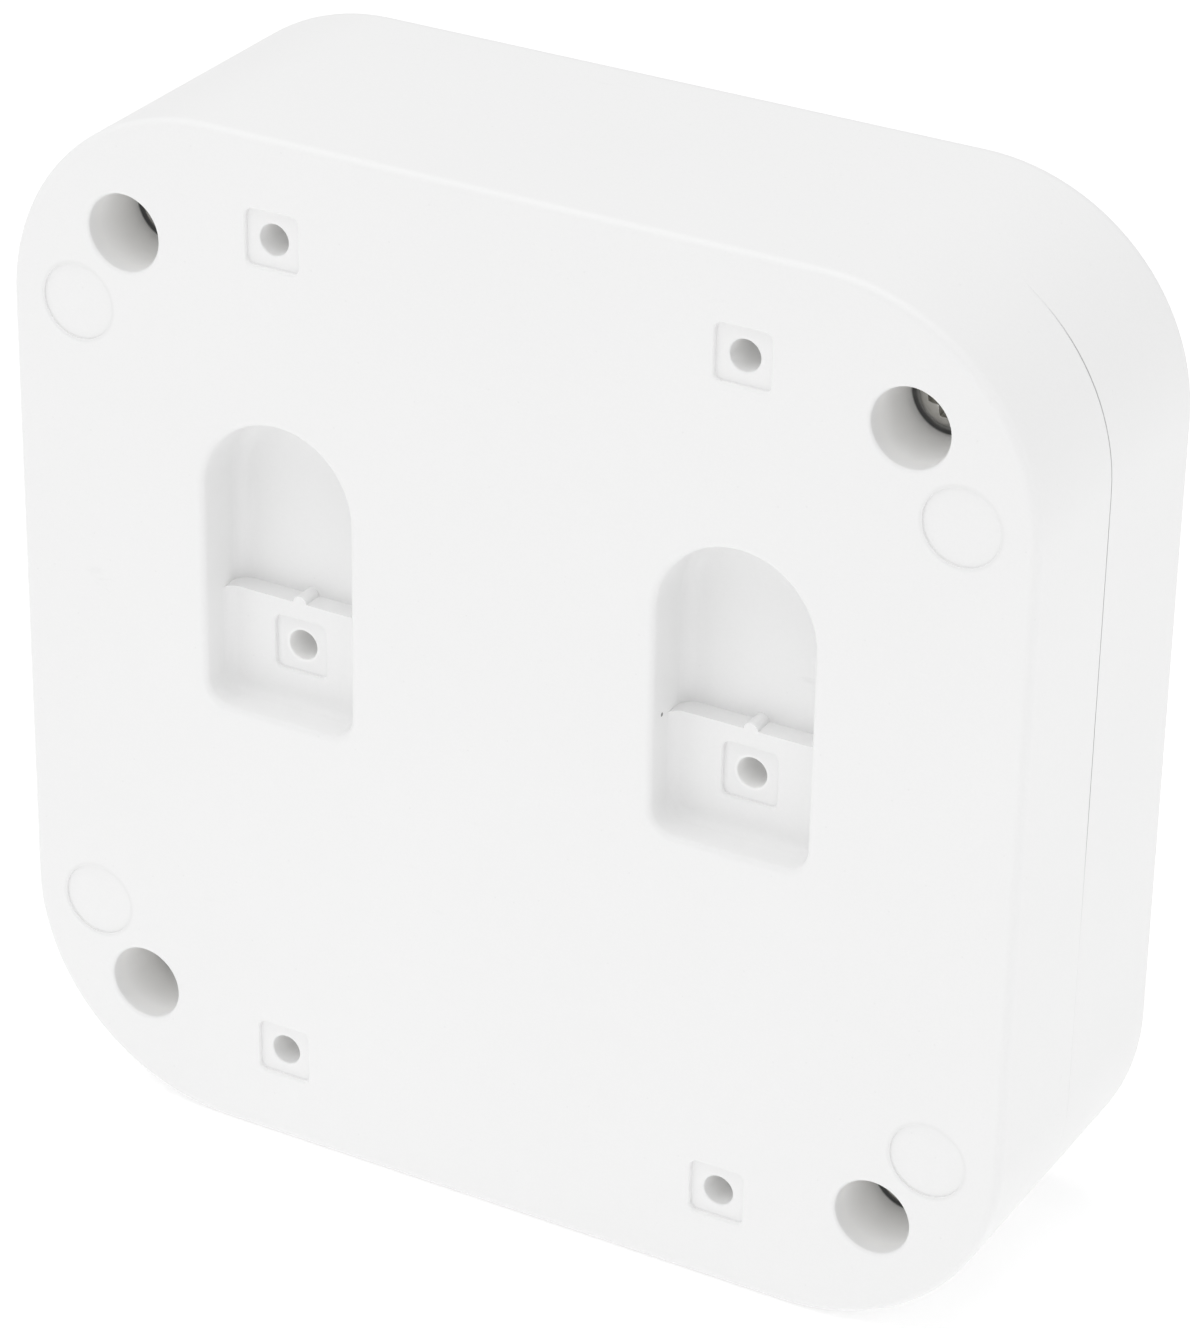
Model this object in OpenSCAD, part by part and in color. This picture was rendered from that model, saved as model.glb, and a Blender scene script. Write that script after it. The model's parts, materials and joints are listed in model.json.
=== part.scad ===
// Square wireless access point with hanging pockets in its back.
// Every piece is drawn lying on its back: the mounting face is on z = 0, depth grows along +z,
// and the ports face -y. upright() then stands it up, with the mounting face looking along -Y.

/* [Case] */
// Width and height of the square case
case_w = 132; // [128:1:138]
// Depth from the mounting face to the front
case_depth = 42; // [41:1:46]
// Radius of the four corners of the outline
case_corner_r = 27; // [24:1:28]
// Radius of the edge around the mounting face
back_edge_r = 1; // [0.5:0.1:1.5]
// Radius of the edge around the front
front_edge_r = 3; // [2:0.5:4]
// Thickness of the side walls of both shells
wall = 2.4; // [2.2:0.1:2.8]
// Thickness of the back plate and of the front plate
plate_t = 2.4; // [2:0.1:2.6]
// Depth of the parting line between the two shells
seam_depth = 18.4; // [17.5:0.1:19]

/* [Screw wells] */
// Distance between the case screws, both ways
screw_pitch = 100.4; // [99:0.2:101]
// Radius of the wells that the case screws sit in
well_r = 4.75; // [4.5:0.05:5]
// Depth of the seat under the screw heads
well_depth = 10.3; // [9:0.1:11]
// Length of a case screw under its head
screw_len = 16; // [12:1:18]

/* [Fixing pads] */
// Side of the square recess around a fixing hole
pad_w = 7; // [6:0.5:8]
// Depth of the square recess
pad_depth = 0.6; // [0.4:0.1:1]
// Radius of a fixing hole
pad_hole_r = 1.9; // [1.6:0.1:2.1]
// Distance between the fixing holes across the case
pad_pitch_x = 60; // [58:1:62]
// Distance between the upper and the lower fixing holes
pad_pitch_y = 107.4; // [104:0.2:109]
// Radius of the round foot marks
foot_r = 4.7; // [4:0.1:5]
// Distance between the foot marks across the case
foot_pitch_x = 113.6; // [112:0.2:115]
// Distance between the upper and the lower foot marks
foot_pitch_y = 80.4; // [78:0.2:82]

/* [Hanging pockets] */
// Width of a pocket
pocket_w = 20; // [18:1:20]
// Height of the top of the arch above the middle of the case
pocket_top = 30.4; // [28:0.2:32]
// Height of the pocket's lower edge, below the middle of the case
pocket_bottom = -7.7; // [-9:0.1:-7]
// Height of the step between the shelf and the deep part
pocket_step = 5.8; // [5:0.1:7]
// Depth of the shelf
shelf_depth = 5; // [4.5:0.1:5.2]
// Depth of the deep part
pocket_depth = 7.8; // [7.2:0.1:8]

/* [Electronics] */
// Depth of the underside of the main board
board_depth = 20; // [19.6:0.1:20.4]
// Width and height of the main board
board_w = 122; // [118:1:124]
// Thickness of the main board
board_t = 1.6; // [1.2:0.2:1.6]
// Travel of the reset button
reset_travel = 0.3; // [0.2:0.05:0.4]

/* [Hidden] */
$fn = 96;
through = 200;

// Heights that follow from the case
roof_z = case_depth - plate_t;
well_floor_t = 2.7;
boss_z = well_depth + well_floor_t;
inner_w = case_w - 2 * wall;
inner_r = case_corner_r - wall;
board_top = board_depth + board_t;
board_corner_r = inner_r - (inner_w - board_w) / 2;

// Lap joint between the shells
lap_h = 2.4;
lap_t = wall / 2;
lap_gap = 0.1;

// Bosses and screws
well_wall = 2;
boss_r = 4.6;
screw_head_r = 3.5;
screw_head_h = 2.4;
screw_shank_r = 1.6;
screw_clearance = 0.05;
screw_play = 0.25;
pad_boss_r = 3.6;
pad_hole_depth = 10;
pad_boss_skin = 1.6;
foot_sink = 0.2;
standoff_x = 48;
standoff_y = 30;
standoff_r = 3.6;
board_screw_r = 1.2;
board_screw_len = 8;
board_head_r = 2.6;
board_head_h = 1.7;
board_hole_play = 0.4;
boss_room = 1.4;

// Pockets
pocket_x = pad_pitch_x / 2;
pocket_corner_r = 3;
pocket_skin = 2;
step_skin = 1.5;
rib_r = 0.9;
pocket_boss_z = 14.4;

// Ports, which face -y
port_face = -case_w / 2 + 1;
lan_x = 12;
lan_w = 16.4;
lan_h = 13.6;
lan_len = 18;
lan_sheet = 0.3;
dc_x = -14;
dc_w = 9;
dc_h = 11;
dc_len = 14;
dc_axis_z = board_top + 6.4;
dc_hole_r = 3;
dc_hole_len = 10;
dc_nose_r = 4;
leaf_pocket = 1;
reset_x = -3;
reset_z = board_top + 1.9;
reset_edge = -board_w / 2;
reset_body_len = 3.6;
reset_hole_r = 1.2;
reset_bore_r = 1;
reset_bore_len = 2.4;
dome_t = 0.15;
port_gap = 0.2;

// Power over Ethernet parts, and where they stand on the board
poe_at = [34, -42];
inductor_at = [[36, -26], [36, -16]];
inductor_size = [7.4, 7.4, 3.8];
capacitor_at = [[-27, -46], [-36, -45], [-44, -40]];

// Heat sink under the board
sink_w = 64;
sink_len = 76;
sink_y = 8;
sink_base_t = 3;
sink_top = board_depth - 1.6;
sink_fin_bottom = 4.4;
sink_fin_t = 1.4;
sink_fin_pitch = 5;
sink_fins = 7;
sink_screw_x = 26;
sink_screw_y = 32;
sink_screw_r = 1;
sink_screw_len = 5;
sink_head_r = 2;
sink_head_h = 1.4;
sink_hole_play = 0.3;
sink_post_r = 2.6;

// Chips as [width, length, height], and where they sit on the board
thermal_pad_size = [22, 22, 0.5];
system_chip_size = [19, 19, 1.1];
memory_size = [9, 13, 1.1];
memory_at = [6.5, 2];
flash_size = [8, 6, 1.6];
flash_at = [-18, -6];
crystal_size = [3.2, 2.5, 0.8];
crystal_at = [9, -12];
radio_size = [12, 12, 0.9];
small_size = [1, 1.6, 0.6];
upright_size = [1.2, 2, 0.8];
flat_size = [2, 1.2, 0.8];

// Shield cans over the radios
can_w = 30;
can_len = 26;
can_h = 3.4;
can_sheet = 0.3;
can_x = 25;
can_y = 22;

// Light guide
lamp_y = -38;
lamp_size = [3.2, 2.8, 1];
pipe_r = 1.6;
pipe_play = 0.05;
pipe_collar_t = 1.6;
pipe_flange_t = 1.2;

// Antennas, each a blade held to the front plate by foam tape: [x, y, angle]
blade_w = 44;
blade_h = 9;
blade_t = 0.8;
tape_t = 0.8;
blade_z = roof_z - tape_t - blade_t;
antenna_place = [[0, 55, 0], [-55, 4, 90], [55, 4, -90], [-19, -54, 180]];

// Coaxial leads: one end under a blade, the other in a plug on the board
lead_r = 0.7;
plug_h = 1.4;
socket_h = 0.8;
plug_xy = [[6, 41], [-44, 22], [44, 22], [-30, -3]];
lead_sides = 8;
lead_top = [
    [0, 50.5, 37.3], [0, 49.5, 37.2], [0.4, 48, 36.6], [1, 46.6, 35.2], [1.6, 46, 33], [2, 46.6, 30.4],
    [1.6, 47.8, 27.8], [0.6, 48.4, 25.6], [-1, 47.8, 24.2], [-2.6, 45.8, 23.8], [-2.6, 43.4, 23.8],
    [-1, 41.6, 23.9], [1, 41, 23.9], [4.6, 41, 23.9]
];
lead_left = [
    [-50.5, 4, 37.3], [-49.5, 4, 37.2], [-48.2, 4.4, 36.6], [-47.2, 5.6, 35.2], [-47, 7.4, 33.2],
    [-47.6, 9.8, 31], [-48.6, 12.2, 28.8], [-49.4, 14.8, 26.8], [-50, 17.4, 25], [-50, 19.8, 24.1],
    [-49, 21.6, 23.9], [-47.4, 22, 23.9], [-45.4, 22, 23.9]
];
lead_right = [for (p = lead_left) [-p[0], p[1], p[2]]];
lead_bottom = [
    [-19, -49.5, 37.3], [-19, -48.5, 37.2], [-19.4, -47.2, 36.6], [-20.6, -45.8, 35.4], [-22.6, -44, 34.2],
    [-25, -41.6, 33], [-27.6, -38.4, 31.6], [-30.4, -34.4, 30], [-33, -29.8, 28.4], [-35, -24.8, 27],
    [-36.2, -19.6, 25.8], [-36.6, -14.4, 24.8], [-36.4, -9.4, 24.2], [-35.6, -5.6, 23.9], [-34.4, -3.4, 23.9],
    [-33, -3, 23.9], [-31.4, -3, 23.9]
];
leads = [lead_top, lead_left, lead_right, lead_bottom];

// ---------- helpers ----------

module upright() rotate([90, 0, 180]) children();

// A copy at each corner of a rectangle
module at_corners(dx, dy) {
    for (sx = [-1, 1], sy = [-1, 1]) translate([sx * dx / 2, sy * dy / 2]) children();
}

// A copy in each pocket, at the middle of its width
module at_pockets() {
    for (sx = [-1, 1]) translate([sx * pocket_x, 0]) children();
}

module rounded_square(w, r) {
    square([w, w - 2 * r], center = true);
    square([w - 2 * r, w], center = true);
    at_corners(w - 2 * r, w - 2 * r) circle(r);
}

// A block standing on z = 0, centred on x and y
module block(w, len, h) translate([-w / 2, -len / 2, 0]) cube([w, len, h]);

module chip(size) block(size[0], size[1], size[2]);

module tube(outer_r, inner_r, h) {
    difference() {
        cylinder(r = outer_r, h = h);
        translate([0, 0, -1]) cylinder(r = inner_r, h = h + 2);
    }
}

// A cylinder along +y from the plane y = y0
module rod_y(r, y0, len) translate([0, y0, 0]) rotate([-90, 0, 0]) cylinder(r = r, h = len);

// The case's outer solid: a profile swept round the outline, and a block in the middle
module case_solid(h, edge_r) {
    straight = case_w - 2 * case_corner_r;
    for (q = [0:3]) rotate(90 * q) translate([straight / 2, straight / 2]) {
        rotate_extrude(angle = 90) edge_profile(h, edge_r);
        rotate([90, 0, 0]) linear_extrude(straight) edge_profile(h, edge_r);
    }
    block(straight, straight, h);
}

// Section of the case from the corner's centre outwards, with its top edge rounded
module edge_profile(h, edge_r) {
    difference() {
        square([case_corner_r, h]);
        translate([case_corner_r - edge_r, h - edge_r]) difference() {
            square(edge_r + 1);
            circle(edge_r);
        }
    }
}

// Outline of a pocket grown by a skin, from height y0 up to the arch
module pocket_outline(skin, y0) {
    half_w = pocket_w / 2 + skin;
    arch_y = pocket_top - pocket_w / 2;
    translate([0, arch_y]) circle(half_w);
    translate([-half_w, y0]) square([2 * half_w, arch_y - y0]);
}

// The lower edge of a pocket has small round corners
module shelf_outline(skin) {
    r = pocket_corner_r + skin;
    half_w = pocket_w / 2 + skin;
    y0 = pocket_bottom - skin;
    pocket_outline(skin, y0 + r);
    for (sx = [-1, 1]) translate([sx * (half_w - r), y0 + r]) circle(r);
    translate([-half_w + r, y0]) square([2 * (half_w - r), r]);
}

// ---------- shells ----------

module rear_housing() {
    color("white") difference() {
        union() {
            difference() {
                mirror([0, 0, 1]) translate([0, 0, -seam_depth]) case_solid(seam_depth, back_edge_r);
                translate([0, 0, plate_t]) linear_extrude(seam_depth) rounded_square(inner_w, inner_r);
                translate([0, 0, seam_depth - lap_h])
                    linear_extrude(seam_depth) rounded_square(case_w - 2 * lap_t, case_corner_r - lap_t);
            }
            at_corners(screw_pitch, screw_pitch) cylinder(r = well_r + well_wall, h = boss_z);
            at_corners(pad_pitch_x, pad_pitch_y) cylinder(r = pad_boss_r, h = pad_hole_depth + pad_boss_skin);
            at_pockets() pocket_skin_solid();
            at_corners(2 * standoff_x, 2 * standoff_y) cylinder(r = standoff_r, h = board_depth);
        }
        at_corners(screw_pitch, screw_pitch) {
            translate([0, 0, -1]) cylinder(r = well_r, h = well_depth + 1);
            translate([0, 0, -1]) cylinder(r = screw_shank_r + screw_play, h = boss_z + 2);
        }
        at_corners(pad_pitch_x, pad_pitch_y) fixing_hole(0);
        at_pockets() pocket_cut();
        at_corners(foot_pitch_x, foot_pitch_y) translate([0, 0, -1]) cylinder(r = foot_r, h = 1 + foot_sink);
        at_corners(2 * standoff_x, 2 * standoff_y) translate([0, 0, board_depth - board_screw_len])
            cylinder(r = board_screw_r + screw_clearance, h = 20);
    }
}

// Square recess and blind hole, with its face at depth z0
module fixing_hole(z0) {
    translate([0, 0, z0 - 1]) block(pad_w, pad_w, pad_depth + 1);
    translate([0, 0, z0]) cylinder(r = pad_hole_r, h = pad_hole_depth - z0 / 2);
}

// The raised back of a pocket inside the case, with the boss behind its shelf
module pocket_skin_solid() {
    linear_extrude(shelf_depth + pocket_skin) shelf_outline(pocket_skin);
    linear_extrude(pocket_depth + pocket_skin) pocket_outline(pocket_skin, pocket_step - step_skin);
    cylinder(r = pad_boss_r, h = pocket_boss_z);
}

// The pocket itself: shelf, deep part with a half-round rib on the step, and a fixing hole
module pocket_cut() {
    translate([0, 0, -1]) linear_extrude(shelf_depth + 1) shelf_outline(0);
    difference() {
        translate([0, 0, 1]) linear_extrude(pocket_depth - 1) pocket_outline(0, pocket_step);
        translate([0, pocket_step, shelf_depth]) cylinder(r = rib_r, h = 20, $fn = 48);
    }
    fixing_hole(shelf_depth);
}

module front_cover() {
    color("white") difference() {
        union() {
            difference() {
                translate([0, 0, seam_depth]) case_solid(case_depth - seam_depth, front_edge_r);
                linear_extrude(roof_z) rounded_square(inner_w, inner_r);
            }
            tongue();
            at_corners(screw_pitch, screw_pitch)
                translate([0, 0, boss_z]) cylinder(r = boss_r, h = roof_z - boss_z + 1);
            translate([0, lamp_y, roof_z - 2]) tube(pipe_r + pipe_collar_t, pipe_r + pipe_play, 3);
        }
        at_corners(screw_pitch, screw_pitch)
            translate([0, 0, boss_z - 1]) cylinder(r = screw_shank_r + screw_clearance, h = screw_len);
        translate([0, lamp_y, 0]) cylinder(r = pipe_r + pipe_play, h = through);
        port_holes();
    }
}

// Lip of the cover, which laps inside the rear housing's wall
module tongue() {
    translate([0, 0, seam_depth - lap_h + lap_gap]) difference() {
        linear_extrude(lap_h) rounded_square(case_w - 2 * (lap_t + lap_gap), case_corner_r - lap_t - lap_gap);
        translate([0, 0, -1]) linear_extrude(lap_h + 2) rounded_square(inner_w, inner_r);
    }
}

// Openings in the lower wall for the two jacks and the reset pin
module port_holes() {
    translate([lan_x, -case_w / 2, board_top - port_gap])
        block(lan_w + 2 * port_gap, 4 * wall, lan_h + 2 * port_gap);
    translate([dc_x, 0, dc_axis_z]) rod_y(dc_nose_r + port_gap, -case_w, case_w - inner_w / 2 + 1);
    translate([reset_x, 0, reset_z]) rod_y(reset_hole_r, -case_w, case_w - inner_w / 2 + 1);
}

// ---------- screws ----------

// Pan-head screw with its head's seat on z = 0 and its shank along +z
module pan_screw(head_r, head_h, shank_r, len) {
    difference() {
        rotate_extrude() pan_profile(head_r, head_h);
        cross_recess(head_r, head_h);
    }
    cylinder(r = shank_r, h = len - shank_r);
    translate([0, 0, len - shank_r]) cylinder(r1 = shank_r, r2 = 0.3 * shank_r, h = shank_r);
}

// Half section of a pan head: a flat seat, a short side and a domed top
module pan_profile(head_r, head_h) {
    side = 0.35 * head_h;
    rise = head_h - side;
    dome_r = (head_r * head_r + rise * rise) / (2 * rise);
    intersection() {
        translate([0, -head_h]) square([head_r, head_h]);
        translate([0, dome_r - head_h]) circle(dome_r, $fn = 180);
    }
}

module cross_recess(head_r, head_h) {
    for (a = [0, 90]) rotate(a) translate([0, 0, -head_h - 1])
        block(1.1 * head_r, 0.24 * head_r, 0.6 * head_h + 1);
}

module case_screws() {
    color("silver") at_corners(screw_pitch, screw_pitch)
        translate([0, 0, well_depth]) pan_screw(screw_head_r, screw_head_h, screw_shank_r, screw_len);
}

module board_screws() {
    color("silver") at_corners(2 * standoff_x, 2 * standoff_y)
        translate([0, 0, board_top]) mirror([0, 0, 1])
            pan_screw(board_head_r, board_head_h, board_screw_r, board_screw_len);
}

module heat_sink_screws() {
    color("silver") at_corners(2 * sink_screw_x, 2 * sink_screw_y)
        translate([0, sink_y, board_top]) mirror([0, 0, 1])
            pan_screw(sink_head_r, sink_head_h, sink_screw_r, sink_screw_len);
}

// ---------- board and chips ----------

module main_board() {
    color("darkgreen") translate([0, 0, board_depth]) difference() {
        linear_extrude(board_t) rounded_square(board_w, board_corner_r);
        translate([0, 0, -1]) {
            at_corners(screw_pitch, screw_pitch) cylinder(r = boss_r + boss_room, h = 4);
            at_corners(2 * standoff_x, 2 * standoff_y) cylinder(r = board_screw_r + board_hole_play, h = 4);
            translate([0, sink_y, 0])
                at_corners(2 * sink_screw_x, 2 * sink_screw_y)
                    cylinder(r = sink_screw_r + sink_hole_play, h = 4);
        }
    }
}

module heat_sink() {
    color("lightgray") translate([0, sink_y, 0]) difference() {
        union() {
            translate([0, 0, sink_top - sink_base_t]) block(sink_w, sink_len, sink_base_t);
            for (i = [0:sink_fins - 1])
                translate([(i - (sink_fins - 1) / 2) * sink_fin_pitch, 0, sink_fin_bottom])
                    block(sink_fin_t, sink_len, sink_top - sink_fin_bottom - 1);
            at_corners(2 * sink_screw_x, 2 * sink_screw_y)
                translate([0, 0, sink_top - 1]) cylinder(r = sink_post_r, h = board_depth - sink_top + 1);
        }
        at_corners(2 * sink_screw_x, 2 * sink_screw_y)
            cylinder(r = sink_screw_r + screw_clearance, h = through);
    }
}

module thermal_pad() {
    color("slategray") translate([0, sink_y, sink_top]) chip(thermal_pad_size);
}

module system_chip() {
    color("dimgray") translate([0, sink_y, board_depth - system_chip_size[2]])
        chip(system_chip_size);
}

module memory_chips() {
    color("dimgray") for (sx = [-1, 1])
        translate([sx * memory_at[0], memory_at[1], board_top]) chip(memory_size);
}

module flash_chip() {
    color("dimgray") translate([flash_at[0], flash_at[1], board_top]) chip(flash_size);
}

module clock_crystals() {
    color("silver") for (sx = [-1, 1])
        translate([sx * crystal_at[0], crystal_at[1], board_top]) chip(crystal_size);
}

// Small chip resistors and capacitors in rows beside the larger parts
module chip_parts() {
    color("tan") {
        for (i = [-2:2]) translate([3 * i, 13, board_top]) chip(small_size);
        for (sx = [-1, 1], i = [0:6])
            translate([sx * (can_x - 9 + 3 * i), 5.5, board_top]) chip(small_size);
        for (i = [0:7]) translate([2 + 2.4 * i, -23, board_top]) chip(upright_size);
        for (i = [0:5]) translate([-33, -24 + 3 * i, board_top]) chip(flat_size);
    }
}

module radio_chips() {
    color("dimgray") for (sx = [-1, 1]) translate([sx * can_x, can_y, board_top]) chip(radio_size);
}

// Soldered fence of a shield can: a low wall with a turned-in top edge
module shield_fence(sx) {
    color("silver") translate([sx * can_x, can_y, board_top]) difference() {
        block(can_w, can_len, can_h);
        translate([0, 0, -1]) block(can_w - 2 * can_sheet, can_len - 2 * can_sheet, can_h - can_sheet + 1);
        block(can_w - 5, can_len - 5, through);
    }
}

// Lid pressed over the fence, with holes for air
module shield_lid(sx) {
    gap = 0.05;
    outer_w = can_w + 2 * (gap + can_sheet);
    outer_len = can_len + 2 * (gap + can_sheet);
    color("gainsboro") translate([sx * can_x, can_y, board_top + 0.6]) difference() {
        block(outer_w, outer_len, can_h - 0.6 + gap + can_sheet);
        translate([0, 0, -1]) block(can_w + 2 * gap, can_len + 2 * gap, can_h - 0.6 + gap + 1);
        for (i = [-2:2], j = [-1:1]) translate([5 * i, 6 * j, 0]) cylinder(r = 0.6, h = 10, $fn = 24);
    }
}

// ---------- network jack ----------

module at_lan_jack() translate([lan_x, port_face, board_top]) children();

module lan_jack_shell() {
    color("silver") at_lan_jack() translate([0, lan_len / 2, 0]) difference() {
        block(lan_w, lan_len, lan_h);
        translate([0, -lan_sheet, lan_sheet])
            block(lan_w - 2 * lan_sheet, lan_len, lan_h - 2 * lan_sheet);
    }
}

module lan_jack_insert() {
    body_w = lan_w - 2 * lan_sheet;
    body_len = lan_len - lan_sheet - 0.3;
    color("black") at_lan_jack() translate([0, 0, lan_sheet]) difference() {
        translate([0, 0.3 + body_len / 2, 0]) block(body_w, body_len, lan_h - 2 * lan_sheet);
        translate([0, 6.5, 2.6]) block(11.8, 13, 6.8);
        translate([0, 6, 9.3]) block(6.2, 12, 1.7);
        translate([0, 6, 10.9]) block(3.4, 12, 1.3);
        for (sx = [-1, 1]) translate([sx * 5.6, 1.5, 10.2]) block(3, 3, 2);
    }
}

// Eight spring wires that rise from the floor of the socket towards its back
module lan_jack_contacts() {
    color("gold") at_lan_jack() for (i = [0:7]) translate([(i - 3.5) * 1.02 - 0.18, 0, lan_sheet + 2.6])
        rotate([90, 0, 90]) linear_extrude(0.36)
            polygon([[2, 0], [4, 0], [12.4, 3.2], [13, 3.2], [13, 3.5], [12.3, 3.5], [3.8, 0.3], [2, 0.3]]);
}

module lan_jack_lamps() {
    color("palegreen") at_lan_jack() for (sx = [-1, 1])
        translate([sx * 5.6, 1.65, lan_sheet + 10.2]) block(3, 2.7, 2);
}

module lan_transformer() {
    color("dimgray") translate([lan_x, port_face + lan_len + 6.5, board_top]) block(12, 8, 5.4);
}

// ---------- power jack ----------

module at_power_jack() translate([dc_x, port_face, 0]) children();

module power_jack() {
    color("black") at_power_jack() difference() {
        union() {
            translate([0, dc_len / 2 + wall, board_top]) block(dc_w, dc_len - 1, dc_h);
            translate([0, 0, dc_axis_z]) rod_y(dc_nose_r, 0, wall + 1.5);
        }
        translate([0, 0, dc_axis_z]) rod_y(dc_hole_r, -1, dc_hole_len + 1);
        translate([0, 0, dc_axis_z]) rod_y(1.05, 0, dc_hole_len + 3);
        translate([0, 8, dc_axis_z - dc_hole_r - leaf_pocket]) block(2, 7, 2);
    }
}

module power_jack_pin() {
    color("silver") at_power_jack() translate([0, 0, dc_axis_z]) {
        rod_y(1, 2, dc_hole_len + 0.9);
        translate([0, 2, 0]) sphere(r = 1, $fn = 48);
    }
}

// Bent leaf that presses on the side of the plug
module power_jack_spring() {
    color("silver") at_power_jack() translate([-0.8, 4.5, dc_axis_z - dc_hole_r - leaf_pocket])
        rotate([90, 0, 90]) linear_extrude(1.6) polygon([
            [0, 0], [1, 0], [3.5, 1.1], [6, 0], [7, 0],
            [7, 0.3], [6.1, 0.3], [3.5, 1.4], [0.9, 0.3], [0, 0.3]
        ]);
}

// ---------- power over Ethernet ----------

module poe_transformer_core() {
    color("dimgray") translate([poe_at[0], poe_at[1], board_top]) difference() {
        block(14, 12, 10);
        for (sx = [-1, 1]) translate([sx * 4, 0, 2]) block(3.4, 14, 6);
    }
}

module poe_transformer_winding() {
    color("goldenrod") translate([poe_at[0], poe_at[1], board_top + 2]) difference() {
        block(11, 17, 5.8);
        translate([0, 0, -1]) block(4.6, 12, 10);
    }
}

module power_inductors() {
    color("gray") for (p = inductor_at) translate([p[0], p[1], board_top]) difference() {
        chip(inductor_size);
        for (a = [0:3]) rotate(45 + 90 * a) translate([5.6, 0, -1]) block(2, 8, 10);
    }
}

// Electrolytic cans: a rubber-footed body with a crimped waist
module bulk_capacitors() {
    color("slategray") for (p = capacitor_at) translate([p[0], p[1], board_top])
        rotate_extrude() polygon([
            [0, 0], [4, 0], [4, 1.6], [3.6, 2], [4, 2.4], [4, 9.4], [3.7, 9.7], [0, 9.7]
        ]);
}

// ---------- reset switch ----------

module at_reset() translate([reset_x, reset_edge, reset_z]) children();

module reset_switch() {
    color("black") at_reset() difference() {
        translate([0, reset_body_len / 2, -1.9]) block(6, reset_body_len, 3.5);
        rod_y(reset_bore_r, -1, reset_bore_len + 1);
    }
}

// Steel clip over the switch body, soldered to the board at both sides
module reset_switch_bracket() {
    color("silver") at_reset() translate([0, reset_body_len / 2, -1.9]) difference() {
        block(6.6, 2.4, 3.8);
        translate([0, 0, -1]) block(6.02, 4, 4.51);
    }
}

module reset_dome() {
    color("gold") at_reset() rod_y(reset_bore_r, reset_bore_len - dome_t, dome_t);
}

module reset_button() {
    stem_end = reset_bore_len - dome_t - reset_travel - 0.05;
    color("ivory") at_reset() rod_y(reset_bore_r - 0.05, -1.6, 1.6 + stem_end);
}

// ---------- status light ----------

module status_lamp() {
    color("white") translate([0, lamp_y, board_top]) chip(lamp_size);
}

module light_pipe() {
    color("lightcyan") translate([0, lamp_y, 0]) {
        translate([0, 0, board_top + 1.4]) cylinder(r = pipe_r, h = case_depth - board_top - 1.4);
        translate([0, 0, roof_z - 2 - pipe_flange_t]) cylinder(r = pipe_r + 1.2, h = pipe_flange_t);
    }
}

// ---------- antennas ----------

module at_antenna(i) {
    translate([antenna_place[i][0], antenna_place[i][1], 0]) rotate(antenna_place[i][2]) children();
}

// A printed blade with rounded ends and a notch beside its feed point
module antenna(i) {
    color("seagreen") at_antenna(i) translate([0, 0, blade_z]) difference() {
        block(blade_w, blade_h, blade_t);
        translate([7, -blade_h / 2, -1]) block(1.6, 5, 4);
        for (sx = [-1, 1]) translate([sx * (blade_w / 2 - 3), 0, -1]) cylinder(r = 1, h = 4, $fn = 32);
    }
}

module antenna_tapes() {
    color("whitesmoke") for (i = [0:3]) at_antenna(i) for (sx = [-1, 1])
        translate([sx * 12, 0, roof_z - tape_t]) block(12, 7, tape_t);
}

// Round tube of radius r along a list of points, as one closed skin
module swept_tube(points, r, sides) {
    n = len(points);
    rings = [for (i = [0:n - 1]) ring_at(points, i, r, sides)];
    verts = [for (ring = rings) for (v = ring) v];
    polyhedron(
        points = verts,
        faces = concat(
            [[for (s = [0:sides - 1]) s]],
            [[for (s = [0:sides - 1]) n * sides - 1 - s]],
            [for (i = [0:n - 2]) for (s = [0:sides - 1]) let (t = (s + 1) % sides)
                each [[i * sides + s, (i + 1) * sides + s, (i + 1) * sides + t],
                      [i * sides + s, (i + 1) * sides + t, i * sides + t]]]
        ),
        convexity = 6
    );
}

function unit(v) = v / norm(v);
function heading(points, i) =
    unit(points[min(i + 1, len(points) - 1)] - points[max(i - 1, 0)]);

// A sideways direction that turns steadily with the route, so that the skin doesn't twist
function sideways(points, i) = let (
    h = heading(points, i),
    ref = i == 0 ? [1, 0.2, 0.1] : sideways(points, i - 1)
) unit(ref - (ref * h) * h);

function ring_at(points, i, r, sides) = let (
    h = heading(points, i),
    u = sideways(points, i),
    v = cross(h, u)
) [for (s = [0:sides - 1]) let (a = 360 * s / sides) points[i] + r * (cos(a) * u + sin(a) * v)];

module antenna_lead(i) {
    color("dimgray") swept_tube(leads[i], lead_r, lead_sides);
}

module coax_sockets() {
    color("gold") for (p = plug_xy) translate([p[0], p[1], board_top]) block(3, 3, socket_h);
}

module coax_plugs() {
    color("silver") for (p = plug_xy) translate([p[0], p[1], board_top + socket_h]) difference() {
        cylinder(r = 1.35, h = plug_h + 0.9);
        translate([0, 0, plug_h + 0.7]) cylinder(r = 0.9, h = 1);
    }
}

// ---------- nodes ----------

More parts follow.
